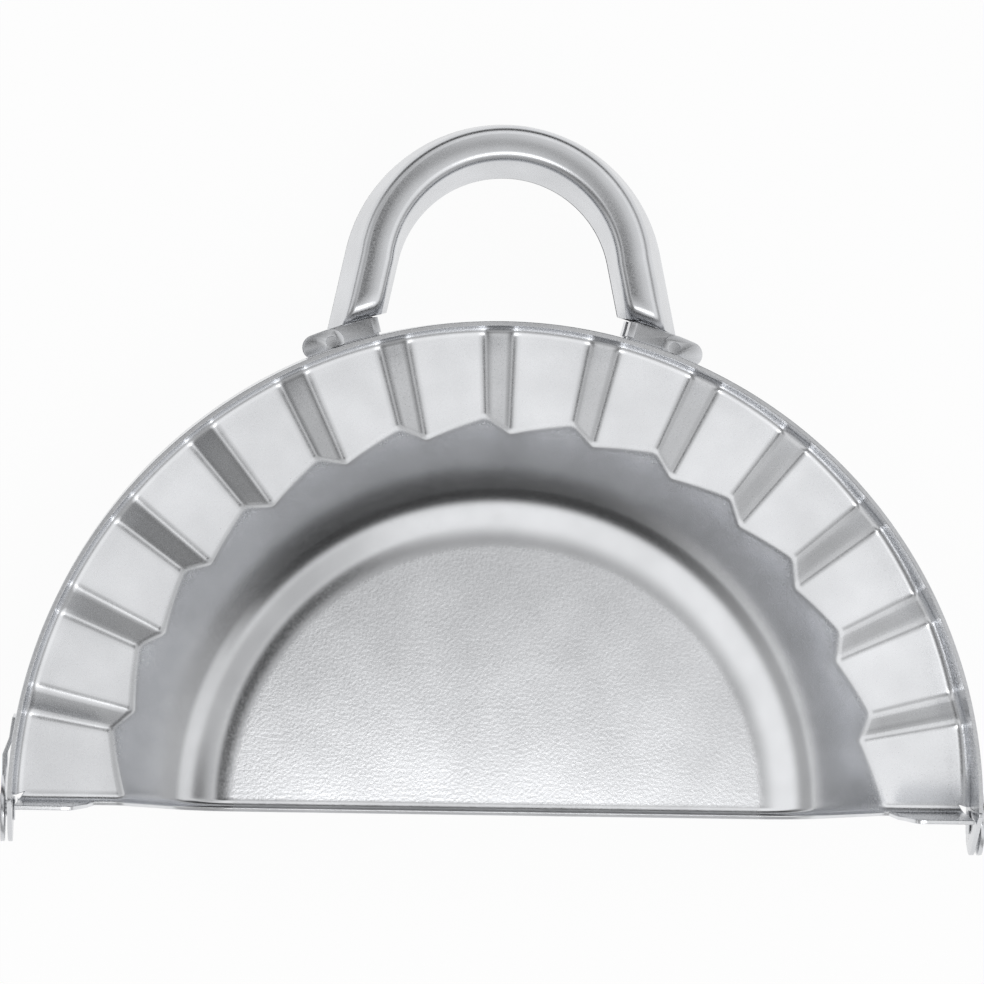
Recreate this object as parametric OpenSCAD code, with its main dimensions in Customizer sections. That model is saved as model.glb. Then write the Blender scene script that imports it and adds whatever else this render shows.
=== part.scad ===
// Empanada press: two pleated half-moon plates hinged along their straight edges, a loop handle on each.
// The press lies closed and flat, hinge towards -Y, handles towards +Y.
// Every shape is drawn about the centre of the pleats, on the plane where the plates meet,
// and is then moved so that the origin lies at the middle of the footprint.

/* [Plates] */
// Outer radius of the rim wall
rim_r = 76; // [65:0.5:90]
// Height of the rim's edge above the plane where the plates meet
rim_h = 12.5; // [11:0.5:16]
// Thickness of the steel sheet
sheet_t = 0.7; // [0.5:0.1:1]
// Gap left between the closed plates
plate_gap = 0.6; // [0.4:0.1:1.5]
// Inner radius of the bend between the pleats and the rim wall
rim_bend_r = 1.7; // [0.8:0.1:2.5]

/* [Bowl] */
// Radius of the flat of the bowl
bowl_flat_r = 41.5; // [35:0.5:44]
// Height of the bowl's outside above the plane where the plates meet
bowl_h = 11.5; // [9:0.5:11.5]
// Radius of the shoulder round the flat
bowl_shoulder_r = 14; // [8:0.5:16]
// Slope of the bowl's side in degrees
bowl_slope = 38; // [35:1:50]

/* [Pleats] */
// Number of pleats round the arc
pleat_count = 14; // [10:1:14]
// Angle from one pleat to the next in degrees
pleat_pitch = 12.95; // [12:0.05:13]
// Angle taken by the flat of a pleat in degrees
pleat_land = 9.45; // [8:0.05:10.5]
// Angle at which the first pleat starts, in degrees from the right end
pleat_start = 179.2; // [177:0.1:179.5]
// Rise from the low side of a pleat to its high side, at pleat_rise_r
pleat_rise = 2.2; // [1:0.1:2.6]
// Radius at which that rise is measured
pleat_rise_r = 67; // [60:1:72]

/* [Straight edge] */
// Distance of the plates' straight edge below the centre of the pleats
edge_drop = 0.9; // [0.5:0.1:1.5]
// Height of the lip along the bowl's open end
lip_h = 1; // [0.5:0.1:1.5]
// Height of the end walls above the plane where the plates meet
end_wall_h = 9.5; // [6:0.5:11]
// Distance from the bowl's foot to the low end of the end walls
end_wall_from = 2.9; // [2.6:0.1:4]
// Length over which an end wall rises from its low end
end_wall_slope = 3.7; // [1:0.1:5]
// Lean of the end walls away from the middle, in degrees
end_wall_lean = 3; // [0:1:6]
// Inner radius of the fold along the straight edge
edge_bend_r = 1.3; // [0.6:0.1:1.6]
// Angle through which the lip is folded up along the bowl, in degrees
lip_fold = 62; // [50:1:80]

/* [Hinge] */
// Distance of the hinge axis below the centre of the pleats
pivot_drop = 1.7; // [1.6:0.1:2.5]
// Radius of the round end of an ear
ear_r = 5.2; // [4.5:0.1:7]
// Gap between the two ears on one rivet
ear_gap = 0.5; // [0.3:0.1:1]
// Distance from the centre line to the end of the front half's rim wall, where its ear is welded on
front_corner = 0.6; // [0.5:0.1:2]
// Distance from the centre line to the front ear's top corner
front_ear_top = 0; // [-1:0.1:0.4]
// Distance from the centre line to the back ear's top corner
back_ear_top = 0.5; // [0:0.1:3]
// Distance up the rim wall that a back ear is welded along
ear_weld_to = 12.4; // [11:0.2:16]
// Distance up the rim wall where a back ear leaves it
ear_leave = 9.2; // [8.4:0.2:10]
// Length of the back ear's step away from the wall
ear_step_len = 2.6; // [2:0.2:3]
// Height of a back ear's welded part above the plane where the plates meet
ear_weld_top = 11.5; // [9:0.5:12]
// Height of the open side of that part
ear_weld_low = 2.2; // [1.5:0.1:4]
// Radius of the rivet's shank
rivet_r = 1.3; // [1:0.1:1.6]
// Radius of the rivet's outer head
rivet_head_r = 2.4; // [2:0.1:2.8]
// Height of the outer head
rivet_head_h = 0.7; // [0.5:0.1:1]
// Radius of the rivet's inner end, hammered flat
rivet_end_r = 1.9; // [1.7:0.1:2]
// Height of that end
rivet_end_h = 0.25; // [0.2:0.05:0.4]

/* [Handles] */
// Outer radius of the handle's loop
loop_r = 25.2; // [20:0.1:30]
// Distance from the centre of the pleats to the centre of the loop, beyond the rim
loop_beyond = 5.6; // [4:0.2:12]
// Width of the handle's channel
strap_w = 8.4; // [6:0.2:11]
// Thickness of the handle's sheet
strap_t = 0.8; // [0.6:0.1:1.2]
// Height of the handle's face above the plane where the plates meet
strap_top = 10; // [7:0.5:12]
// Height of the channel's open side above that plane
strap_bottom = 0.8; // [0.5:0.1:2]
// Size of the channel's rounded long edges
strap_edge_r = 1; // [0.5:0.1:1.3]
// Rise of the handle's face in its middle
strap_crown = 0.4; // [0.1:0.1:0.8]
// How far the outer side leans in on the legs
leg_lean_out = 2.1; // [0.2:0.1:2.4]
// How far the inner side leans in on the legs
leg_lean_in = 1; // [0.2:0.1:2.4]
// How far the outer side leans in at the top of the loop
loop_lean_out = 0.4; // [0.2:0.1:2.4]
// How far the inner side leans in at the top of the loop
loop_lean_in = 2.8; // [0.2:0.1:3.2]
// Angle at which the handle's legs spread, in degrees
leg_spread = 12; // [0:1:14]

/* [Handle feet] */
// Depth of a foot, from the rim wall to the handle's seat
foot_depth = 3; // [2.6:0.1:4]
// Distance from the middle of a leg's end to the inner end of its foot
foot_inset = 2.7; // [2:0.1:3.2]
// Angle along the rim that the foot's plate takes
foot_angle = 5.2; // [4.6:0.1:6]
// Height of the plate above the plane where the pressing plates meet
foot_top = 6.5; // [5:0.5:8]
// Height of the foot's lower edge above that plane
foot_low = 3; // [2.4:0.2:4]
// Height of the cheek at the foot's inner end
cheek_top = 8.6; // [7:0.2:9.4]
// Radius of the round ends of the tab
tab_r = 2; // [1.8:0.1:2.4]
// Angle along the rim between the centres of those ends
tab_angle = 1.9; // [1:0.1:3]
// Rise of the tab above the plate
tab_rise = 0.5; // [0.3:0.1:0.7]
// Radius of the weld mark in the tab
weld_r = 0.9; // [0.5:0.1:1.2]
// Depth of the weld mark
weld_depth = 0.3; // [0.1:0.05:0.4]

/* [Hidden] */
$fn = 32;
running = 0.05;
snug = 0.02;
weld_gap = 0.05;
steel = [0.80, 0.81, 0.83];
satin = [0.72, 0.73, 0.75];

// Half the angle over which a crease is rounded, and the length over which the bowl's foot is
crease_width = 0.7;
foot_blend = 1;
shoulder_steps = 2;
bend_steps = 2;
edge_steps = 2;
loop_steps = 20;
tab_set_on = 0.4;
lip_steps = 4;
corner_gap = 0.3;
corner_share = [0, 0.3, 0.55, 0.7, 1];
swing_gap = 0.7;
weld_steps = 6;
cut_past = 5;
end_bend = [[0, 1.7], [0.7, 0.9], [1.5, 0.3], [2.6, 0]];
ear_steps = 24;

pivot_y = -pivot_drop;
y_low = pivot_y - ear_r;
loop_y = rim_r + loop_beyond;
y_high = loop_y + loop_r;
bar_angle = pleat_pitch - pleat_land;
land_tan = pleat_rise / (2 * pleat_rise_r * sin(pleat_land / 2));
land_sin = land_tan * sin(pleat_land / 2);
bar_tan = land_sin / sin(bar_angle / 2);
foot_seat_r = rim_r + weld_gap + foot_depth;
leg_end = leg_end_at([0, loop_y] + (loop_r - strap_w / 2) * [cos(leg_spread), sin(leg_spread)], 1, 0);
foot_from = atan2(leg_end[0], leg_end[1]) - foot_inset / foot_seat_r * 180 / PI;
ear_in_x = rim_r - sheet_t;
ear_out_x = rim_r + ear_gap;
back_corner = pivot_y + ear_r + swing_gap;

// Moves a shape from the centre of the pleats to the frame of the whole press
module placed() {
    translate([0, -(y_low + y_high) / 2, rim_h]) children();
}

// side is 1 for the front, which faces up, and -1 for the back
module on_side(side) {
    if (side > 0) children();
    else mirror([0, 0, 1]) children();
}

// Height of the pleats for each unit of radius, at an angle: each pleat slopes down clockwise
// and a steep bar climbs to the next one, so the pleats deepen towards the rim.
function pleat_at(i, angle) = land_tan * sin(angle - pleat_start + i * pleat_pitch + pleat_land / 2);
function bar_at(i, angle) = -bar_tan * sin(angle - pleat_start + i * pleat_pitch + pleat_land + bar_angle / 2);
function softened(crease, before, after) = crease / 2 + (before + after) / 4;

// Stations round the arc from left to right: each one an angle and the height of the pleats there.
// The creases have a station at each side, so that they come out rounded.
function stations(i) =
    let (from = pleat_start - i * pleat_pitch, to = from - pleat_land, w = crease_width)
    concat(
        i == 0 ? [[180, pleat_at(0, 180)]] : [
            [from + w, bar_at(i - 1, from + w)],
            [from, softened(land_sin, bar_at(i - 1, from + w), pleat_at(i, from - w))],
            [from - w, pleat_at(i, from - w)]],
        [[(from + to) / 2, 0]],
        i == pleat_count - 1 ? [[0, pleat_at(i, 0)]] : [
            [to + w, pleat_at(i, to + w)],
            [to, softened(-land_sin, pleat_at(i, to + w), bar_at(i, to - w))],
            [to - w, bar_at(i, to - w)]]);
columns = [for (i = [0 : pleat_count - 1]) each stations(i)];
last_column = len(columns) - 1;

// Middle of the bowl's sheet where the shoulder meets the slope, and where the slope meets a pleat
// that climbs by h for each unit of radius
level = (plate_gap + sheet_t) / 2;
shoulder_r = bowl_shoulder_r - sheet_t / 2;
shoulder_z = bowl_h - bowl_shoulder_r;
side_r = bowl_flat_r + shoulder_r * sin(bowl_slope);
side_z = shoulder_z + shoulder_r * cos(bowl_slope);
fall = tan(bowl_slope);
function foot_at(h) = (side_z + side_r * fall - level) / (fall + h);
end_wall_low = foot_at(0) + end_wall_from;
end_wall_high = end_wall_low + end_wall_slope;
bend_r = rim_bend_r + sheet_t / 2;
bend_from = rim_r - sheet_t / 2 - bend_r;

// Rows from the flat of the bowl out to the rim's edge: radius, height and lean of the sheet's middle.
// The lean is the angle from straight up to the sheet's normal, positive away from the middle.
function section(side, h) =
    let (
        foot_r = foot_at(side * h),
        foot_z = level + side * h * foot_r)
    concat(
        [for (k = [0 : shoulder_steps]) let (lean = bowl_slope * k / shoulder_steps)
            [bowl_flat_r + shoulder_r * sin(lean), shoulder_z + shoulder_r * cos(lean), lean]],
        [[foot_r - foot_blend, foot_z + foot_blend * fall, bowl_slope],
         [foot_r, foot_z + foot_blend * fall / 4, bowl_slope / 2],
         [foot_r + foot_blend, foot_z + side * h * foot_blend, 0]],
        [for (r = [end_wall_low, end_wall_high]) [r, level + side * h * r, 0]],
        [for (k = [0 : bend_steps]) let (turn = 90 * k / bend_steps)
            [bend_from + bend_r * sin(turn), level + side * h * bend_from + bend_r * (1 - cos(turn)), -turn]],
        [[rim_r - sheet_t / 2, rim_h, -90]]);
foot_row = shoulder_steps + 4;
wall_row = foot_row + 2;
top_row = wall_row + bend_steps + 1;

// Run of the lip's fold, from its start to the sheet's middle at the lip's edge
lip_rise = lip_h + sheet_t / 2 * (1 - cos(lip_fold));
fold_r = edge_bend_r + sheet_t / 2;
lip_run = fold_r * sin(lip_fold) + (lip_rise - fold_r * (1 - cos(lip_fold))) / tan(lip_fold);
fold_y = lip_run + sheet_t / 2 * sin(lip_fold) - edge_drop;

// Middle of the sheet and its normal at one station and row. The rim stops short at the hinge corners.
function arc_point(side, column, row, corner_y) =
    let (
        p = section(side, columns[column][1])[row],
        stop = asin((row > wall_row ? corner_y : fold_y) / p[0]),
        angle = column == 0 ? 180 - stop : column == last_column ? stop : columns[column][0],
        out = [cos(angle), sin(angle), 0])
    [p[0] * out + [0, 0, p[1]], sin(p[2]) * out + [0, 0, cos(p[2])]];

// The same along the straight edge, where the sheet is folded up into a lip or an end wall. The last
// step is its edge. At the corners the end walls reach out towards the rim wall.
function lip_point(side, column, row, step) =
    let (
        p = section(side, columns[column][1])[row],
        x = column == 0 ? -1 : 1,
        normal = [x * sin(p[2]), 0, cos(p[2])],
        fold = row <= foot_row ? lip_fold : 90 - end_wall_lean,
        turn = fold * min(1, step / (lip_steps - 1)),
        rise = row <= foot_row ? lip_rise : end_wall_h - p[1] - sheet_t / 2 * cos(fold),
        rest = step < lip_steps ? 0 : rise - fold_r * (1 - cos(fold)),
        out = row == wall_row ? x * corner_share[step] * (ear_in_x - corner_gap - bend_from) : 0,
        run = fold_r * sin(turn) + rest / tan(fold))
    [[x * sqrt(p[0] * p[0] - fold_y * fold_y) + out, fold_y - run, p[1]] + (fold_r * (1 - cos(turn)) + rest) * normal,
        cos(turn) * normal + [0, sin(turn), 0]];

// One pressed sheet: its two faces run over every station and row, and are closed along the edges.
// The first and the last lip_steps stations are the lips. A lip has no rows beyond the end wall.
module plate_sheet(side, corner_y) {
    lip_rows = wall_row + 1;
    rows = top_row + 1;
    n = lip_steps;
    right = last_column + n;
    end = right + n;
    main_start = n * lip_rows;
    lip_start = main_start + (last_column + 1) * rows;
    half = lip_start + n * lip_rows;
    middle = concat(
        [for (j = [0 : n - 1], row = [0 : wall_row]) lip_point(side, 0, row, n - j)],
        [for (j = [0 : last_column], row = [0 : top_row]) arc_point(side, j, row, corner_y)],
        [for (j = [1 : n], row = [0 : wall_row]) lip_point(side, last_column, row, j)]);
    points = [for (face = [0.5, -0.5], m = middle)
        let (p = m[0] + face * sheet_t * m[1]) [p[0], p[1], side * p[2]]];
    function at(face, j, row) = face * half + row +
        (j < n ? j * lip_rows : j <= right ? main_start + (j - n) * rows : lip_start + (j - right - 1) * lip_rows);
    quads = concat(
        [for (j = [0 : end - 1], row = [0 : (j < n || j >= right ? wall_row : top_row) - 1])
            [at(0, j, row), at(0, j, row + 1), at(0, j + 1, row + 1), at(0, j + 1, row)]],
        [for (j = [0 : end - 1], row = [0 : (j < n || j >= right ? wall_row : top_row) - 1])
            [at(1, j + 1, row), at(1, j + 1, row + 1), at(1, j, row + 1), at(1, j, row)]],
        [for (k = [0 : n - 1]) [at(0, n - k, 0), at(0, right + k, 0), at(0, right + k + 1, 0), at(0, n - k - 1, 0)]],
        [for (k = [0 : n - 1]) [at(1, n - k - 1, 0), at(1, right + k + 1, 0), at(1, right + k, 0), at(1, n - k, 0)]],
        [[at(0, 0, 0), at(0, end, 0), at(1, end, 0), at(1, 0, 0)]],
        [for (row = [0 : wall_row - 1]) [at(0, 0, row + 1), at(0, 0, row), at(1, 0, row), at(1, 0, row + 1)]],
        [for (row = [0 : wall_row - 1])
            [at(0, end, row), at(0, end, row + 1), at(1, end, row + 1), at(1, end, row)]],
        [for (row = [wall_row : top_row - 1]) [at(0, n, row + 1), at(0, n, row), at(1, n, row), at(1, n, row + 1)]],
        [for (row = [wall_row : top_row - 1])
            [at(0, right, row), at(0, right, row + 1), at(1, right, row + 1), at(1, right, row)]],
        [for (k = [0 : n - 1], j = [k, right + k])
            [at(0, j + 1, wall_row), at(0, j, wall_row), at(1, j, wall_row), at(1, j + 1, wall_row)]],
        [for (j = [n : right - 1])
            [at(0, j + 1, top_row), at(0, j, top_row), at(1, j, top_row), at(1, j + 1, top_row)]]);
    faces = concat(
        [for (q = quads) each [[q[0], q[1], q[2]], [q[0], q[2], q[3]]]],
        [[for (j = [n : right]) at(0, j, 0)], [for (j = [right : -1 : n]) at(1, j, 0)]]);
    polyhedron(points, side > 0 ? faces : [for (f = faces) [for (k = [len(f) - 1 : -1 : 0]) f[k]]]);
}

module front_half() {
    color(steel) placed() plate_sheet(1, front_corner);
}

// The back plate's rim stops further from the hinge, so that the front ears can turn past it
module back_half() {
    color(steel) placed() plate_sheet(-1, back_corner);
}

// Side outline of an ear: a round end about the rivet, from its tangent to a corner round to an angle
function ear_arc(corner, to) =
    let (
        away = [corner[0] - pivot_y, corner[1]],
        from = atan2(away[1], away[0]) + acos(ear_r / norm(away)))
    [for (k = [0 : ear_steps]) let (turn = from + (to - from) * k / ear_steps)
        [pivot_y + ear_r * cos(turn), ear_r * sin(turn)]];

module rivet_hole(clearance) {
    translate([rim_r - cut_past, pivot_y, 0])
        rotate([0, 90, 0]) cylinder(r = rivet_r + clearance, h = 2 * cut_past);
}

// Front ear: a flat plate in line with the rim wall, welded to the wall's end
module front_ear(m) {
    seam_y = front_corner - weld_gap;
    corner = [front_ear_top, rim_h];
    color(satin) placed()
        mirror([m, 0, 0])
            difference() {
                translate([ear_in_x, 0, 0])
                    rotate([90, 0, 90])
                        linear_extrude(height = sheet_t)
                            polygon(concat(ear_arc(corner, 360 - acos((seam_y - pivot_y) / ear_r)),
                                [[seam_y, rim_h], corner]));
                rivet_hole(running);
            }
}

// Plan of a back ear: welded along the outside of the rim wall, then a step out and a straight run
module back_ear_plan() {
    r = rim_r + weld_gap;
    leave = asin(ear_leave / r);
    end = asin(ear_weld_to / r);
    inner = [for (k = [0 : weld_steps]) let (a = end + (leave - end) * k / weld_steps) [r * cos(a), r * sin(a)]];
    outer = [for (p = inner) p * (r + sheet_t) / r];
    bend_y = ear_leave - ear_step_len;
    out_x = ear_out_x + sheet_t;
    past_y = y_low - cut_past;
    polygon(concat(inner,
        [[ear_out_x, bend_y], [ear_out_x, past_y], [out_x, past_y], [out_x, bend_y]],
        [for (k = [weld_steps : -1 : 0]) outer[k]]));
}

module back_ear(m) {
    corner = [back_ear_top, ear_weld_top];
    far_y = ear_weld_to + cut_past;
    color(satin) placed()
        on_side(-1)
            mirror([m, 0, 0])
                difference() {
                    intersection() {
                        translate([0, 0, -ear_r - cut_past])
                            linear_extrude(height = ear_r + rim_h + 2 * cut_past) back_ear_plan();
                        translate([rim_r - cut_past, 0, 0])
                            rotate([90, 0, 90])
                                linear_extrude(height = 2 * cut_past)
                                    polygon(concat(ear_arc(corner, 360 + asin(ear_weld_low / ear_r)),
                                        [[far_y, ear_weld_low], [far_y, ear_weld_top], corner]));
                    }
                    rivet_hole(snug);
                }
}

module front_ear_left() { front_ear(1); }
module front_ear_right() { front_ear(0); }
module back_ear_left() { back_ear(1); }
module back_ear_right() { back_ear(0); }

// Handle in section, as a channel open towards the other plate: its two sides lean in to a crowned
// face. Each point is a distance outwards from the middle of the strap and a height.
function rounded(from, corner, to) = [for (k = [0 : edge_steps]) let (t = k / edge_steps)
    (1 - t) * (1 - t) * from + 2 * t * (1 - t) * corner + t * t * to];
function towards(from, to, distance) = from + distance * (to - from) / norm(to - from);

function channel(lean_out, lean_in, inset, top) =
    let (
        foot = strap_w / 2 - inset,
        edge_z = top - strap_crown - inset,
        outer = [strap_w / 2 - lean_out - inset, edge_z],
        inner = [-strap_w / 2 + lean_in + inset, edge_z],
        middle = (outer[0] + inner[0]) / 2,
        half = (outer[0] - inner[0]) / 2,
        crown = [for (f = [0.5, 0, -0.5]) [middle + f * half, top - inset - strap_crown * f * f]],
        e = strap_edge_r)
    concat(
        [[foot, strap_bottom]],
        rounded(towards(outer, [foot, strap_bottom], e), outer, towards(outer, crown[0], e)),
        crown,
        rounded(towards(inner, crown[2], e), inner, towards(inner, [-foot, strap_bottom], e)),
        [[-foot, strap_bottom]]);

// End of a line down a leg from its start, on the side of x, at a distance short of the foot's seat
function leg_end_at(start, x, short) =
    let (
        down = [x * sin(leg_spread), -cos(leg_spread)],
        seat = foot_seat_r + weld_gap,
        along = start * down)
    start + (-along - sqrt(along * along - start * start + seat * seat) - short) * down;

// One corner of the handle: on the loop at a turn, or on a leg at a distance short of the foot's seat
function handle_point(p, turn, short) =
    let (
        start = [0, loop_y] + (loop_r - strap_w / 2 + p[0]) * [cos(turn), sin(turn)],
        end = short < 0 ? start : leg_end_at(start, turn < 90 ? 1 : -1, short))
    [end[0], end[1], p[1]];

// Stations of the handle from the right leg over the loop to the left leg: turn, distance short of
// the seat, and drop of the face, which bends down towards the foot. The loop has no such distance.
module handle(side) {
    bend = end_bend;
    stops = concat(
        [for (e = bend) [leg_spread, e[0], e[1]]],
        [for (k = [0 : loop_steps]) [leg_spread + (180 - 2 * leg_spread) * k / loop_steps, -1, 0]],
        [for (k = [len(bend) - 1 : -1 : 0]) [180 - leg_spread, bend[k][0], bend[k][1]]]);
    last = len(stops) - 1;
    rings = [for (stop = stops)
        let (
            t = (sin(stop[0]) - sin(leg_spread)) / (1 - sin(leg_spread)),
            lean_out = leg_lean_out + t * (loop_lean_out - leg_lean_out),
            lean_in = leg_lean_in + t * (loop_lean_in - leg_lean_in))
        [for (inset = [0, strap_t], p = channel(lean_out, lean_in, inset, strap_top - stop[2]))
            handle_point(p, stop[0], stop[1])]];
    count = len(rings[0]) / 2;
    function at(i, face, k) = 2 * count * i + count * face + k;
    quads = concat(
        [for (i = [0 : last - 1], k = [0 : count - 2])
            [at(i, 0, k), at(i, 0, k + 1), at(i + 1, 0, k + 1), at(i + 1, 0, k)]],
        [for (i = [0 : last - 1], k = [0 : count - 2])
            [at(i + 1, 1, k), at(i + 1, 1, k + 1), at(i, 1, k + 1), at(i, 1, k)]],
        [for (i = [0 : last - 1]) [at(i, 0, 0), at(i + 1, 0, 0), at(i + 1, 1, 0), at(i, 1, 0)]],
        [for (i = [0 : last - 1], k = [count - 1]) [at(i, 0, k), at(i, 1, k), at(i + 1, 1, k), at(i + 1, 0, k)]],
        [for (k = [0 : count - 2]) [at(0, 0, k + 1), at(0, 0, k), at(0, 1, k), at(0, 1, k + 1)]],
        [for (k = [0 : count - 2]) [at(last, 0, k), at(last, 0, k + 1), at(last, 1, k + 1), at(last, 1, k)]]);
    faces = [for (q = quads) each [[q[0], q[1], q[2]], [q[0], q[2], q[3]]]];
    points = [for (ring = rings, p = ring) [p[0], p[1], side * p[2]]];
    color(satin) placed()
        polyhedron(points, side > 0 ? faces : [for (f = faces) [f[2], f[1], f[0]]]);
}

module front_handle() { handle(1); }
module back_handle() { handle(-1); }

// A point at a distance from the centre of the pleats and an angle measured from the middle
function rim_point(r, angle) = [r * sin(angle), r * cos(angle)];

// A band that follows the rim, between two radii, two angles and two heights
module rim_band(r_in, r_out, from, to, z_low, z_high) {
    steps = 4;
    translate([0, 0, z_low])
        linear_extrude(height = z_high - z_low)
            polygon(concat(
                [for (k = [0 : steps]) rim_point(r_in, from + (to - from) * k / steps)],
                [for (k = [steps : -1 : 0]) rim_point(r_out, from + (to - from) * k / steps)]));
}

// Outline of the tab: round at both ends, cut off along the rim wall
module tab_outline(wall_r, from, to) {
    steps = 8;
    mid_r = foot_seat_r - tab_r;
    cut = asin((wall_r - mid_r) / tab_r);
    function end_point(centre, way, turn) =
        rim_point(mid_r + tab_r * sin(turn), centre + way * tab_r * cos(turn) / mid_r * 180 / PI);
    polygon(concat(
        [for (k = [0 : steps]) end_point(from, -1, cut + (90 - cut) * k / steps)],
        [for (k = [steps : -1 : 0]) end_point(to, 1, cut + (90 - cut) * k / steps)],
        [rim_point(wall_r, (from + to) / 2)]));
}

// Foot of a handle, held against the rim wall: a strip along the wall, a plate that reaches to the
// handle's seat, a cheek at its inner end and a round-ended tab welded on at its outer end
module foot(side, m) {
    wall_r = rim_r + weld_gap;
    overlap = strap_t / 4;
    plate_end = foot_from + foot_angle;
    tab_from = plate_end + tab_set_on;
    cheek_angle = strap_t / wall_r * 180 / PI;
    color(satin) placed()
        on_side(side)
            mirror([m, 0, 0])
                difference() {
                    union() {
                        rim_band(wall_r, wall_r + strap_t, foot_from, tab_from, foot_low, foot_top - overlap);
                        rim_band(wall_r + overlap, foot_seat_r, foot_from + cheek_angle / 2, plate_end,
                            foot_top - strap_t, foot_top);
                        rim_band(wall_r + 2 * overlap, foot_seat_r - overlap, foot_from - overlap, foot_from + cheek_angle,
                            foot_low + overlap, cheek_top);
                        translate([0, 0, foot_top - strap_t + tab_rise])
                            linear_extrude(height = strap_t)
                                tab_outline(wall_r + overlap / 2, tab_from, tab_from + tab_angle);
                    }
                    weld = rim_point(foot_seat_r - tab_r, tab_from);
                    translate([weld[0], weld[1], foot_top + tab_rise - weld_depth])
                        cylinder(r = weld_r, h = 2 * weld_depth);
                }
}

module front_foot_left() { foot(1, 1); }
module front_foot_right() { foot(1, 0); }
module back_foot_left() { foot(-1, 1); }
module back_foot_right() { foot(-1, 0); }

// Rivet through both ears: the shank turns in the inner ear, its head lies outside the outer one and
// its other end is hammered flat
module rivet(m) {
    inner_x = ear_in_x - running;
    outer_x = ear_out_x + sheet_t;
    color(satin) placed()
        mirror([m, 0, 0])
            translate([0, pivot_y, 0])
                rotate([0, 90, 0]) {
                    translate([0, 0, inner_x]) cylinder(r = rivet_r, h = outer_x - inner_x);
                    translate([0, 0, inner_x - rivet_end_h]) cylinder(r = rivet_end_r, h = rivet_end_h);
                    translate([0, 0, outer_x]) cylinder(r = rivet_head_r, h = rivet_head_h);
                }
}

module hinge_rivet_left() { rivet(1); }
module hinge_rivet_right() { rivet(0); }

front_half();
back_half();
front_handle();
back_handle();
front_foot_left();
front_foot_right();
back_foot_left();
back_foot_right();
front_ear_left();
front_ear_right();
back_ear_left();
back_ear_right();
hinge_rivet_left();
hinge_rivet_right();
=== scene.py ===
"""Empanada press in polished sheet steel, lying closed on a white table."""
import math

import bmesh
import bpy
import numpy as np
from mathutils import Matrix, Vector


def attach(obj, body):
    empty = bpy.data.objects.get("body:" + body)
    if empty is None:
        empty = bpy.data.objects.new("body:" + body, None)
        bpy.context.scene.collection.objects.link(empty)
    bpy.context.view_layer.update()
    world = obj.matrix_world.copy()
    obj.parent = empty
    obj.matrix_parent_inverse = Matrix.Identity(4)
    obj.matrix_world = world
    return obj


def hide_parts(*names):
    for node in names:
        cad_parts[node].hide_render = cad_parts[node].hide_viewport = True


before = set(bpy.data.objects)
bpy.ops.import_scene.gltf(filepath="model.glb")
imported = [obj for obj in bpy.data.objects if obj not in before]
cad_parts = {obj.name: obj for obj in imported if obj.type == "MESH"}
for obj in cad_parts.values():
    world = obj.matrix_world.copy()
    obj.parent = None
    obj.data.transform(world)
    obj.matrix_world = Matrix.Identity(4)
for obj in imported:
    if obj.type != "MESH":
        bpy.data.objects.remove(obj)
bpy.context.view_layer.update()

# Real sizes in millimetres, about the centre of the pleats, as in the part's source.
RIM_R, RIM_H, SHEET, GAP, BEND_R = 76.0, 12.5, 0.7, 0.6, 1.7
FLAT_R, BOWL_H, SHOULDER_R, SLOPE = 41.5, 11.5, 14.0, 38.0
PLEATS, PITCH, LAND, START = 14, 12.95, 9.45, 179.2
RISE, RISE_R = 2.2, 67.0
EDGE_DROP, FOLD_R, LIP_H, LIP_FOLD = 0.9, 1.65, 1.0, 62.0
END_H, END_FROM, END_SLOPE, END_FOLD = 9.5, 2.9, 3.7, 87.0
CORNER = {1: 0.6, -1: 4.2}
CORNER_SHARE = [0, 0.3, 0.55, 0.7]
LOOP_R, LOOP_BEYOND, STRAP_W, STRAP_T = 25.2, 5.6, 8.4, 0.8
STRAP_TOP, STRAP_LOW, STRAP_CROWN, SPREAD = 10.0, 0.8, 0.4, 12.0
LEG_OUT, LEG_IN, LOOP_OUT, LOOP_IN = 2.1, 1.0, 0.4, 2.8
SEAT_R = RIM_R + 0.05 + 3.0 + 0.05
SHIFT = Vector((0.0, -49.95, 12.5))

BAR = PITCH - LAND
LAND_TAN = RISE / (2 * RISE_R * math.sin(math.radians(LAND / 2)))
LAND_SIN = LAND_TAN * math.sin(math.radians(LAND / 2))
BAR_TAN = LAND_SIN / math.sin(math.radians(BAR / 2))


def sind(a):
    return math.sin(math.radians(a))


def cosd(a):
    return math.cos(math.radians(a))


def metres(p):
    """A point in the part's millimetres to the frame's metres."""
    return ((p[0] + SHIFT.x) / 1000, (p[1] + SHIFT.y) / 1000, (p[2] + SHIFT.z) / 1000)


# ---- Shapes ----

def new_object(name, verts, faces, node, sharp=35.0):
    """A smooth mesh with its sharp edges kept, which rides on a body and replaces a CAD node."""
    mesh = bpy.data.meshes.new(name)
    mesh.from_pydata(verts, [], faces)
    mesh.validate()
    for polygon in mesh.polygons:
        polygon.use_smooth = True
    mesh.set_sharp_from_angle(angle=math.radians(sharp))
    obj = bpy.data.objects.new(name, mesh)
    bpy.context.scene.collection.objects.link(obj)
    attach(obj, "front" if node.startswith("front") else "back")
    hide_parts(node)
    return obj


def pleat_height(angle):
    """Height of the pleats for each unit of radius, before the creases are softened."""
    first = START - angle
    i = min(PLEATS - 1, max(0, math.floor(first / PITCH)))
    into = first - i * PITCH
    if into <= LAND or i == PLEATS - 1:
        return LAND_TAN * sind(LAND / 2 - into)
    return -BAR_TAN * sind(LAND + BAR / 2 - into)


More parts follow.
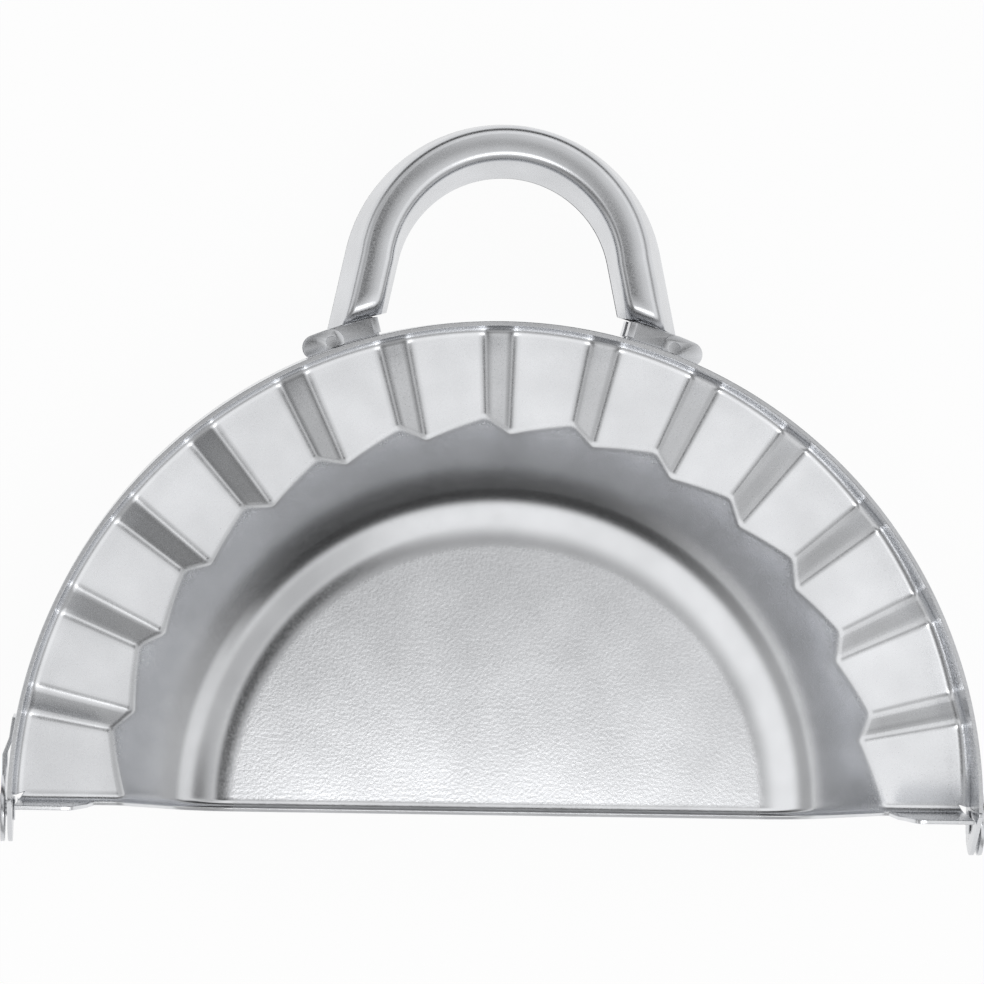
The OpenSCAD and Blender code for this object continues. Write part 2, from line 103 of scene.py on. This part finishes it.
def soft_pleat(angle, width=0.45, steps=9):
    """The same with each crease rounded over a short angle."""
    total = 0.0
    for k in range(steps):
        total += pleat_height(angle + width * (2 * k / (steps - 1) - 1))
    return total / steps


LEVEL = (GAP + SHEET) / 2
ARC_R, ARC_Z = SHOULDER_R - SHEET / 2, BOWL_H - SHOULDER_R
SIDE_R, SIDE_Z = FLAT_R + ARC_R * sind(SLOPE), ARC_Z + ARC_R * cosd(SLOPE)
FALL = math.tan(math.radians(SLOPE))
BEND_MID = BEND_R + SHEET / 2
BEND_FROM = RIM_R - SHEET / 2 - BEND_MID
LIP_RISE = LIP_H + SHEET / 2 * (1 - cosd(LIP_FOLD))
LIP_RUN = FOLD_R * sind(LIP_FOLD) + (LIP_RISE - FOLD_R * (1 - cosd(LIP_FOLD))) / math.tan(math.radians(LIP_FOLD))
FOLD_Y = LIP_RUN + SHEET / 2 * sind(LIP_FOLD) - EDGE_DROP
REACH = RIM_R - SHEET - 0.3 - BEND_FROM


def foot_at(h):
    """Radius at which the bowl's side meets a pleat that climbs by h for each unit of radius."""
    return (SIDE_Z + SIDE_R * FALL - LEVEL) / (FALL + h)


END_LOW = foot_at(0) + END_FROM

# Rows from the flat to the rim's edge, zone by zone, and stations from the left end to the right.
SHOULDER_ROWS, SLOPE_ROWS, FOOT_ROWS, END_ROWS, LAND_ROWS, BEND_ROWS, RIM_ROWS = 15, 5, 8, 6, 6, 9, 4
END_ROW = SHOULDER_ROWS + SLOPE_ROWS + FOOT_ROWS
WALL_ROW = END_ROW + END_ROWS + LAND_ROWS
STATIONS, LIP_STEPS = 361, 9
EASE_DEG = 12.0         # stations this near an end close up to leave room for the lip
FOOT_BLEND = 1.0        # half width of the crease between bowl and pleats
END_GAP = 0.15          # flat sheet left between that crease and an end wall


def section(side, h):
    """Rows of the sheet's middle from the flat to the rim's edge: radius, height and lean."""
    foot_r = foot_at(side * h)
    rows = []
    for k in range(SHOULDER_ROWS):
        lean = SLOPE * k / (SHOULDER_ROWS - 1)
        rows.append((FLAT_R + ARC_R * sind(lean), ARC_Z + ARC_R * cosd(lean), lean))
    blend = min(FOOT_BLEND, END_LOW - END_GAP - foot_r)
    last = foot_r - blend
    for k in range(1, SLOPE_ROWS + 1):
        r = SIDE_R + (last - SIDE_R) * k / SLOPE_ROWS
        rows.append((r, SIDE_Z - (r - SIDE_R) * FALL, SLOPE))
    low_z = LEVEL + side * h * foot_r
    start = (last, SIDE_Z - (last - SIDE_R) * FALL)
    end = (foot_r + blend, low_z + side * h * blend)
    for k in range(1, FOOT_ROWS + 1):
        t = k / FOOT_ROWS
        r = (1 - t) ** 2 * start[0] + 2 * t * (1 - t) * foot_r + t * t * end[0]
        z = (1 - t) ** 2 * start[1] + 2 * t * (1 - t) * low_z + t * t * end[1]
        rows.append((r, z, SLOPE * (1 - t)))
    for k in range(END_ROWS + 1):
        r = END_LOW + END_SLOPE * k / END_ROWS
        rows.append((r, LEVEL + side * h * r, 0.0))
    for k in range(1, LAND_ROWS):
        r = END_LOW + END_SLOPE + (BEND_FROM - END_LOW - END_SLOPE) * k / LAND_ROWS
        rows.append((r, LEVEL + side * h * r, 0.0))
    for k in range(BEND_ROWS):
        turn = 90 * k / (BEND_ROWS - 1)
        rows.append((BEND_FROM + BEND_MID * sind(turn),
                     LEVEL + side * h * BEND_FROM + BEND_MID * (1 - cosd(turn)), -turn))
    top = rows[-1][1]
    for k in range(1, RIM_ROWS + 1):
        rows.append((RIM_R - SHEET / 2, top + (RIM_H - top) * k / RIM_ROWS, -90.0))
    return rows


def half_sheet(name, side):
    """One pressed half: two faces over all stations and rows, closed along every edge."""
    angles = [180 - 180 * k / (STATIONS - 1) for k in range(STATIONS)]
    pleats = [soft_pleat(a) if 1 < a < 179 else pleat_height(a) for a in angles]
    sections = [section(side, h) for h in pleats]
    rows = len(sections[0])

    def stop_y(row):
        t = min(1.0, max(0.0, (row - WALL_ROW) * 2 / (BEND_ROWS - 1)))
        return FOLD_Y + (CORNER[side] - FOLD_Y) * t

    stations = []
    for angle, rows_here in zip(angles, sections):
        station = []
        edge = min(angle, 180 - angle)
        for row, (r, z, lean) in enumerate(rows_here):
            stop = math.degrees(math.asin(stop_y(row) / r))
            near = stop + (EASE_DEG - stop) * edge / EASE_DEG if edge < EASE_DEG else edge
            use = near if angle < 90 else 180 - near
            out = (cosd(use), sind(use))
            n = (sind(lean) * out[0], sind(lean) * out[1], cosd(lean))
            station.append(((r * out[0], r * out[1], z), n))
        stations.append(station)

    def lip(column, step):
        """A station of the fold along the straight edge: a lip along the bowl, an end wall beyond."""
        x = -1 if column == 0 else 1
        station = []
        for row in range(WALL_ROW + 1):
            r, z, lean = sections[column][row]
            n = (x * sind(lean), 0.0, cosd(lean))
            t = min(1.0, max(0.0, (row - END_ROW) / END_ROWS))
            wall = t * t * (3 - 2 * t)
            fold = LIP_FOLD + (END_FOLD - LIP_FOLD) * (1 - (1 - wall) ** 4)
            tall = END_H - z - SHEET / 2 * cosd(fold)
            rise = LIP_RISE + (tall - LIP_RISE) * wall
            turn = fold * min(1.0, step / (LIP_STEPS - 1))
            rest = rise - FOLD_R * (1 - cosd(fold)) if step == LIP_STEPS else 0.0
            up = FOLD_R * (1 - cosd(turn)) + rest
            run = FOLD_R * sind(turn) + rest / math.tan(math.radians(fold))
            along = max(0.0, (r - END_LOW - END_SLOPE) / (BEND_FROM - END_LOW - END_SLOPE))
            share = 1.0
            if step < LIP_STEPS:
                share = float(np.interp(turn / fold, [0, 1 / 3, 2 / 3, 1], CORNER_SHARE))
            out = math.sqrt(r * r - FOLD_Y ** 2) + along * share * REACH
            p = (x * out + up * n[0], FOLD_Y - run, z + up * n[2])
            station.append((p, (cosd(turn) * n[0], sind(turn), cosd(turn) * n[2])))
        return station

    left = [lip(0, step) for step in range(LIP_STEPS, 0, -1)]
    right = [lip(STATIONS - 1, step) for step in range(1, LIP_STEPS + 1)]
    grid = left + stations + right
    first, last = len(left), len(left) + STATIONS - 1
    verts, index = [], {}
    for face in (0, 1):
        for j, station in enumerate(grid):
            for row, (p, n) in enumerate(station):
                off = (0.5 - face) * SHEET
                q = (p[0] + off * n[0], p[1] + off * n[1], side * (p[2] + off * n[2]))
                index[face, j, row] = len(verts)
                verts.append(metres(q))
    quads = []

    def quad(a, b, c, d):
        quads.append([index[a], index[b], index[c], index[d]])

    top = rows - 1
    for j in range(len(grid) - 1):
        inner = first <= j < last
        for row in range(top if inner else WALL_ROW):
            quad((0, j, row), (0, j, row + 1), (0, j + 1, row + 1), (0, j + 1, row))
            quad((1, j + 1, row), (1, j + 1, row + 1), (1, j, row + 1), (1, j, row))
    end = len(grid) - 1
    for step in range(first):
        a, b = first - step, last + step
        quad((0, a, 0), (0, b, 0), (0, b + 1, 0), (0, a - 1, 0))
        quad((1, a - 1, 0), (1, b + 1, 0), (1, b, 0), (1, a, 0))
    quad((0, 0, 0), (0, end, 0), (1, end, 0), (1, 0, 0))
    for row in range(WALL_ROW):
        quad((0, 0, row + 1), (0, 0, row), (1, 0, row), (1, 0, row + 1))
        quad((0, end, row), (0, end, row + 1), (1, end, row + 1), (1, end, row))
    for row in range(WALL_ROW, top):
        quad((0, first, row + 1), (0, first, row), (1, first, row), (1, first, row + 1))
        quad((0, last, row), (0, last, row + 1), (1, last, row + 1), (1, last, row))
    for j in list(range(first)) + list(range(last, end)):
        quad((0, j + 1, WALL_ROW), (0, j, WALL_ROW), (1, j, WALL_ROW), (1, j + 1, WALL_ROW))
    for j in range(first, last):
        quad((0, j + 1, top), (0, j, top), (1, j, top), (1, j + 1, top))
    faces = quads + [[index[0, j, 0] for j in range(first, last + 1)],
                     [index[1, j, 0] for j in range(last, first - 1, -1)]]
    if side < 0:
        faces = [f[::-1] for f in faces]
    node = "front_half" if side > 0 else "back_half"
    return new_object(name, verts, faces, node, sharp=48.0)


def channel(lean_out, lean_in, inset, top, steps=6):
    """The handle in section, with rounded edges and a crowned face."""
    foot = STRAP_W / 2 - inset
    edge_z = top - STRAP_CROWN - inset
    outer = np.array([STRAP_W / 2 - lean_out - inset, edge_z])
    inner = np.array([-STRAP_W / 2 + lean_in + inset, edge_z])
    middle, half = (outer[0] + inner[0]) / 2, (outer[0] - inner[0]) / 2

    def crown(f):
        return np.array([middle + f * half, top - inset - STRAP_CROWN * f * f])

    def towards(a, b, d):
        return a + d * (b - a) / np.linalg.norm(b - a)

    def rounded(a, corner, b):
        return [(1 - t) ** 2 * a + 2 * t * (1 - t) * corner + t * t * b
                for t in (k / steps for k in range(steps + 1))]

    right, left = np.array([foot, STRAP_LOW]), np.array([-foot, STRAP_LOW])
    e = 1.15 if inset == 0 else 0.8
    points = [right]
    points += rounded(towards(outer, right, e), outer, towards(outer, crown(0.6), e))
    points += [crown(f) for f in (0.5, 0.25, 0, -0.25, -0.5)]
    points += rounded(towards(inner, crown(-0.6), e), inner, towards(inner, left, e))
    return points + [left]


LEG_END = [(0, 1.7), (0.35, 1.25), (0.7, 0.88), (1.1, 0.55), (1.5, 0.3), (2.0, 0.12), (2.6, 0), (4.5, 0)]
LOOP_STEPS = 96


def handle(name, side):
    """A loop handle. LEG_END is how far its face dips at each distance from a leg's end."""
    stops = [(SPREAD, d, drop) for d, drop in LEG_END]
    stops += [(SPREAD + (180 - 2 * SPREAD) * k / LOOP_STEPS, -1, 0) for k in range(LOOP_STEPS + 1)]
    stops += [(180 - SPREAD, d, drop) for d, drop in reversed(LEG_END)]
    loop_y = RIM_R + LOOP_BEYOND
    verts, rings = [], []
    for turn, short, drop in stops:
        t = (sind(turn) - sind(SPREAD)) / (1 - sind(SPREAD))
        lean_out = LEG_OUT + t * (LOOP_OUT - LEG_OUT)
        lean_in = LEG_IN + t * (LOOP_IN - LEG_IN)
        ring = []
        for inset in (0, STRAP_T):
            loop = []
            for u, z in channel(lean_out, lean_in, inset, STRAP_TOP - drop):
                r = LOOP_R - STRAP_W / 2 + u
                p = np.array([r * cosd(turn), loop_y + r * sind(turn)])
                if short >= 0:
                    down = np.array([(1 if turn < 90 else -1) * sind(SPREAD), -cosd(SPREAD)])
                    along = p @ down
                    p = p + (-along - math.sqrt(along ** 2 - p @ p + SEAT_R ** 2) - short) * down
                loop.append(len(verts))
                verts.append(metres((p[0], p[1], side * z)))
            ring.append(loop)
        rings.append(ring)
    n = len(rings[0][0])
    faces = []
    for a, b in zip(rings, rings[1:]):
        for k in range(n - 1):
            faces.append([a[0][k], a[0][k + 1], b[0][k + 1], b[0][k]])
            faces.append([b[1][k], b[1][k + 1], a[1][k + 1], a[1][k]])
        faces.append([a[0][0], b[0][0], b[1][0], a[1][0]])
        faces.append([a[0][-1], a[1][-1], b[1][-1], b[0][-1]])
    for k in range(n - 1):
        a, b = rings[0], rings[-1]
        faces.append([a[0][k + 1], a[0][k], a[1][k], a[1][k + 1]])
        faces.append([b[0][k], b[0][k + 1], b[1][k + 1], b[1][k]])
    if side < 0:
        faces = [f[::-1] for f in faces]
    node = "front_handle" if side > 0 else "back_handle"
    return new_object(name, verts, faces, node, sharp=40.0)


def eased(node, width=0.12):
    """A copy of a CAD node with its sharp edges broken, as tumbled sheet steel has them."""
    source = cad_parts[node]
    bm = bmesh.new()
    bm.from_mesh(source.data)
    bmesh.ops.remove_doubles(bm, verts=bm.verts, dist=1e-6)
    bmesh.ops.dissolve_limit(bm, angle_limit=math.radians(1.0), verts=bm.verts, edges=bm.edges)
    mesh = bpy.data.meshes.new(node + "_eased")
    bm.to_mesh(mesh)
    bm.free()
    obj = bpy.data.objects.new(node + "_eased", mesh)
    obj.matrix_world = source.matrix_world.copy()
    bpy.context.scene.collection.objects.link(obj)
    for polygon in mesh.polygons:
        polygon.use_smooth = True
    bevel = obj.modifiers.new("edges", "BEVEL")
    bevel.width = width / 1000
    bevel.segments = 3
    bevel.limit_method = "ANGLE"
    bevel.angle_limit = math.radians(30)
    bevel.harden_normals = True
    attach(obj, "front" if node.startswith("front") else "back")
    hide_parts(node)
    return obj


# ---- Materials ----

FLAT_ROUGH, PLEAT_ROUGH = 0.13, 0.08        # added to the plates' roughness on the flat and on the pleats
GRAIN_DEPTH, SWELL_DEPTH, PEEL_DEPTH = 0.000006, 0.0001, 0.000022
PATCH_MM, PEEL_MM = 9.0, 0.5


def noise(nt, position, size_mm, detail):
    """Noise over the surface, with features of about the size given."""
    node = nt.nodes.new("ShaderNodeTexNoise")
    node.inputs["Scale"].default_value = 1000 / size_mm
    node.inputs["Detail"].default_value = detail
    nt.links.new(position, node.inputs["Vector"])
    return node.outputs["Fac"]

def plate_zones(nt, position, rough):
    """The flat was left grained by the press and the pleats satin, and the bowl between is polished."""
    level = nt.nodes.new("ShaderNodeVectorMath")
    level.operation = "MULTIPLY"
    level.inputs[1].default_value = (1, 1, 0)
    nt.links.new(position, level.inputs[0])
    radius = nt.nodes.new("ShaderNodeVectorMath")
    radius.operation = "DISTANCE"
    radius.inputs[1].default_value = (SHIFT.x / 1000, SHIFT.y / 1000, 0)
    nt.links.new(level.outputs["Vector"], radius.inputs[0])
    shares = []
    for start, end, low, high, extra in ((40.4, 41.8, 1, 0, FLAT_ROUGH), (56.0, 60.0, 0, 1, PLEAT_ROUGH)):
        share = nt.nodes.new("ShaderNodeMapRange")
        share.interpolation_type = "SMOOTHSTEP"
        for socket, value in zip(list(share.inputs)[1:5], (start / 1000, end / 1000, low, high)):
            socket.default_value = value
        nt.links.new(radius.outputs["Value"], share.inputs["Value"])
        add = nt.nodes.new("ShaderNodeMath")
        add.operation = "MULTIPLY_ADD"
        add.inputs[1].default_value = extra
        nt.links.new(share.outputs["Result"], add.inputs[0])
        nt.links.new(rough, add.inputs[2])
        rough = add.outputs[0]
        shares.append(share.outputs["Result"])
    return shares[0], shares[1], rough


def steel(name, colour, roughness, grain, grain_mm, wave_mm=None, zones=False):
    """Steel with a fine grain in its gloss and surface, and faint waves from pressing."""
    m = bpy.data.materials.new(name)
    m.use_nodes = True
    nt = m.node_tree
    nt.nodes.clear()
    out = nt.nodes.new("ShaderNodeOutputMaterial")
    bsdf = nt.nodes.new("ShaderNodeBsdfPrincipled")
    nt.links.new(bsdf.outputs[0], out.inputs[0])
    bsdf.inputs["Metallic"].default_value = 1.0
    coords = nt.nodes.new("ShaderNodeTexCoord")

    position = coords.outputs["Object"]
    fine = noise(nt, position, grain_mm, 3.0)

    tint = nt.nodes.new("ShaderNodeValToRGB")
    tint.color_ramp.elements[0].position = 0.3
    tint.color_ramp.elements[0].color = (*[c * 0.88 for c in colour], 1)
    tint.color_ramp.elements[1].position = 0.75
    tint.color_ramp.elements[1].color = (*colour, 1)
    nt.links.new(noise(nt, position, PATCH_MM, 2.0), tint.inputs["Fac"])
    nt.links.new(tint.outputs["Color"], bsdf.inputs["Base Color"])

    gloss = nt.nodes.new("ShaderNodeMapRange")
    gloss.inputs["From Min"].default_value = 0.3
    gloss.inputs["From Max"].default_value = 0.7
    gloss.inputs["To Min"].default_value = roughness * 0.85
    gloss.inputs["To Max"].default_value = roughness * 1.2
    nt.links.new(fine, gloss.inputs["Value"])
    rough = gloss.outputs["Result"]

    bump = nt.nodes.new("ShaderNodeBump")
    bump.inputs["Strength"].default_value = grain
    bump.inputs["Distance"].default_value = GRAIN_DEPTH
    nt.links.new(fine, bump.inputs["Height"])
    if wave_mm:
        swell = nt.nodes.new("ShaderNodeBump")
        swell.inputs["Strength"].default_value = 0.2
        swell.inputs["Distance"].default_value = SWELL_DEPTH
        nt.links.new(noise(nt, position, wave_mm, 1.0), swell.inputs["Height"])
        nt.links.new(swell.outputs["Normal"], bump.inputs["Normal"])
    if zones:
        flat_share, pleat_share, rough = plate_zones(nt, position, rough)
        wavy = nt.nodes.new("ShaderNodeMath")
        wavy.operation = "MULTIPLY_ADD"
        wavy.inputs[1].default_value = 0.5
        wavy.inputs[2].default_value = 0.1
        nt.links.new(pleat_share, wavy.inputs[0])
        nt.links.new(wavy.outputs[0], swell.inputs["Strength"])
        peel = nt.nodes.new("ShaderNodeBump")
        peel.inputs["Distance"].default_value = PEEL_DEPTH
        nt.links.new(flat_share, peel.inputs["Strength"])
        nt.links.new(noise(nt, position, PEEL_MM, 2.0), peel.inputs["Height"])
        nt.links.new(bump.outputs["Normal"], peel.inputs["Normal"])
        bump = peel
    nt.links.new(rough, bsdf.inputs["Roughness"])
    nt.links.new(bump.outputs["Normal"], bsdf.inputs["Normal"])
    return m


# ---- Building ----

plate_steel = steel("polished_plate", (0.80, 0.81, 0.83), 0.17, 0.06, 0.35, wave_mm=14, zones=True)
strap_steel = steel("satin_strap", (0.72, 0.73, 0.75), 0.25, 0.1, 0.3)
rivet_steel = steel("rivet_steel", (0.70, 0.71, 0.73), 0.28, 0.1, 0.25)

pieces = [half_sheet("front_half_pressed", 1), half_sheet("back_half_pressed", -1)]
for piece in pieces:
    piece.data.materials.append(plate_steel)
    cut = piece.modifiers.new("cut_edges", "BEVEL")
    cut.width = 0.00012
    cut.segments = 2
    cut.limit_method = "ANGLE"
    cut.angle_limit = math.radians(60)
for side, word in ((1, "front"), (-1, "back")):
    piece = handle(word + "_handle_drawn", side)
    piece.data.materials.append(strap_steel)
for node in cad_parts:
    kind = "fittings" if "foot" in node or "ear" in node else "rivets" if "rivet" in node else None
    if kind:
        piece = eased(node)
        piece.data.materials.clear()
        piece.data.materials.append(strap_steel if kind == "fittings" else rivet_steel)
for node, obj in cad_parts.items():
    obj.data.materials.clear()
    obj.data.materials.append(plate_steel if node.endswith("_half") else
                              rivet_steel if "rivet" in node else strap_steel)


# ---- Stage ----

def stage_floor():
    """The white table. Metal sees it as white as the camera does, and it keeps the shadow."""
    mesh = bpy.data.meshes.new("table_top")
    s = 6.0
    mesh.from_pydata([(-s, -s, -0.0002), (s, -s, -0.0002), (s, s, -0.0002), (-s, s, -0.0002)], [], [(0, 1, 2, 3)])
    floor = bpy.data.objects.new("table_top", mesh)
    bpy.context.scene.collection.objects.link(floor)
    m = bpy.data.materials.new("white_table")
    m.use_nodes = True
    nt = m.node_tree
    bsdf = nt.nodes["Principled BSDF"]
    bsdf.inputs["Base Color"].default_value = (0.93, 0.93, 0.93, 1)
    bsdf.inputs["Roughness"].default_value = 0.9
    glow = nt.nodes.new("ShaderNodeEmission")
    glow.inputs["Color"].default_value = (1, 1, 1, 1)
    glow.inputs["Strength"].default_value = 1.0
    path = nt.nodes.new("ShaderNodeLightPath")
    seen = path.outputs["Is Camera Ray"]
    for ray in ("Is Glossy Ray", "Is Transmission Ray"):
        either = nt.nodes.new("ShaderNodeMath")
        either.operation = "MAXIMUM"
        nt.links.new(seen, either.inputs[0])
        nt.links.new(path.outputs[ray], either.inputs[1])
        seen = either.outputs[0]
    share = nt.nodes.new("ShaderNodeMath")
    share.operation = "MULTIPLY"
    share.inputs[1].default_value = 0.95
    mix = nt.nodes.new("ShaderNodeMixShader")
    nt.links.new(seen, share.inputs[0])
    nt.links.new(share.outputs[0], mix.inputs["Fac"])
    nt.links.new(bsdf.outputs[0], mix.inputs[1])
    nt.links.new(glow.outputs[0], mix.inputs[2])
    nt.links.new(mix.outputs[0], nt.nodes["Material Output"].inputs["Surface"])
    mesh.materials.append(m)


# Soft cards hung in the studio: direction from +X, tilt from straight up, half width, half height, brightness.
CARDS = (
    (165, 10, 55, 10, 0.06),    # the camera and its stand
    (170, 35, 55, 16, 0.5),     # a dimmer side of the canopy
    (95, 66, 55, 14, 0.04),     # a black flag beyond the handle
    (215, 48, 35, 18, 0.15),    # a second flag, near and to the left
    (180, 60, 30, 12, 0.75),    # a white card on the left
    (0, 84, 50, 10, 0.75),      # a white wall low on the right
)


def studio_world():
    """A soft studio: an even canopy overhead, dimmer walls and a few cards."""
    world = bpy.data.worlds.new("studio")
    bpy.context.scene.world = world
    world.use_nodes = True
    nt = world.node_tree
    nt.nodes.clear()
    out = nt.nodes.new("ShaderNodeOutputWorld")
    back = nt.nodes.new("ShaderNodeBackground")
    nt.links.new(back.outputs[0], out.inputs[0])
    coords = nt.nodes.new("ShaderNodeTexCoord")

    def fill(socket, value):
        if isinstance(value, (int, float)):
            socket.default_value = value
        else:
            nt.links.new(value, socket)

    def math_node(operation, *values):
        node = nt.nodes.new("ShaderNodeMath")
        node.operation = operation
        for socket, value in zip(node.inputs, values):
            fill(socket, value)
        return node.outputs[0]

    def fade(value, start, end, low=0.0, high=1.0):
        node = nt.nodes.new("ShaderNodeMapRange")
        node.interpolation_type = "SMOOTHSTEP"
        for socket, amount in zip(node.inputs, (value, start, end, low, high)):
            fill(socket, amount)
        return node.outputs["Result"]

    whole = nt.nodes.new("ShaderNodeSeparateXYZ")
    nt.links.new(coords.outputs["Generated"], whole.inputs[0])
    x, y, z = whole.outputs
    tilt = math_node("MULTIPLY", math_node("ARCCOSINE", z), 180 / math.pi)
    level = math_node("SQRT", math_node("ADD", math_node("MULTIPLY", x, x),
                                        math_node("ADD", math_node("MULTIPLY", y, y), 1e-9)))
    east, north = math_node("DIVIDE", x, level), math_node("DIVIDE", y, level)

    light = math_node("SUBTRACT", fade(tilt, 2, 26, 0.4, 0.9), fade(tilt, 46, 60, 0.0, 0.5))
    for azimuth, middle, half_w, half_h, shade in CARDS:
        facing = math_node("ADD", math_node("MULTIPLY", east, cosd(azimuth)),
                           math_node("MULTIPLY", north, sind(azimuth)))
        across = fade(facing, cosd(half_w * 1.4), cosd(half_w * 0.5))
        off = math_node("ABSOLUTE", math_node("SUBTRACT", tilt, middle))
        card = math_node("MULTIPLY", across, fade(off, half_h * 0.5, half_h * 1.2, 1.0, 0.0))
        light = math_node("ADD", light, math_node("MULTIPLY", card, math_node("SUBTRACT", shade, light)))
    nt.links.new(light, back.inputs["Color"])
    back.inputs["Strength"].default_value = 1.15


def soft_box(name, place, target, width, height, power):
    """A near light, out of the camera's sight, which gives the grained flat its change of tone."""
    data = bpy.data.lights.new(name, "AREA")
    data.shape, data.size, data.size_y, data.energy = "RECTANGLE", width, height, power
    lamp = bpy.data.objects.new(name, data)
    bpy.context.scene.collection.objects.link(lamp)
    place = Vector(place)
    aim = (Vector(target) - place).to_track_quat("-Z", "Y")
    lamp.matrix_world = Matrix.Translation(place) @ aim.to_matrix().to_4x4()
    lamp.visible_camera = False


def camera():
    """The photo's viewing angle. The press lay about 0.9 degrees askew in the photo, and the camera carries that."""
    place = Vector((-48.89, 74.61, 1046.35)) + SHIFT
    turn = Vector((math.radians(1.4159), math.radians(2.6049), math.radians(-1.0078)))
    rotation = Matrix.Rotation(turn.length, 3, turn.normalized())
    data = bpy.data.cameras.new("camera")
    data.lens = 6668.2 / 984 * 36
    data.sensor_width = 36
    data.clip_start, data.clip_end = 0.01, 50
    obj = bpy.data.objects.new("camera", data)
    bpy.context.scene.collection.objects.link(obj)
    obj.matrix_world = Matrix.Translation(place / 1000) @ rotation.transposed().to_4x4()
    bpy.context.scene.camera = obj


stage_floor()
studio_world()
soft_box("near_box", (0.0, -0.105, 0.25), (0.0, -0.045, 0.02), 0.12, 0.05, 0.057)
camera()
bpy.context.scene.view_settings.view_transform = "Standard"
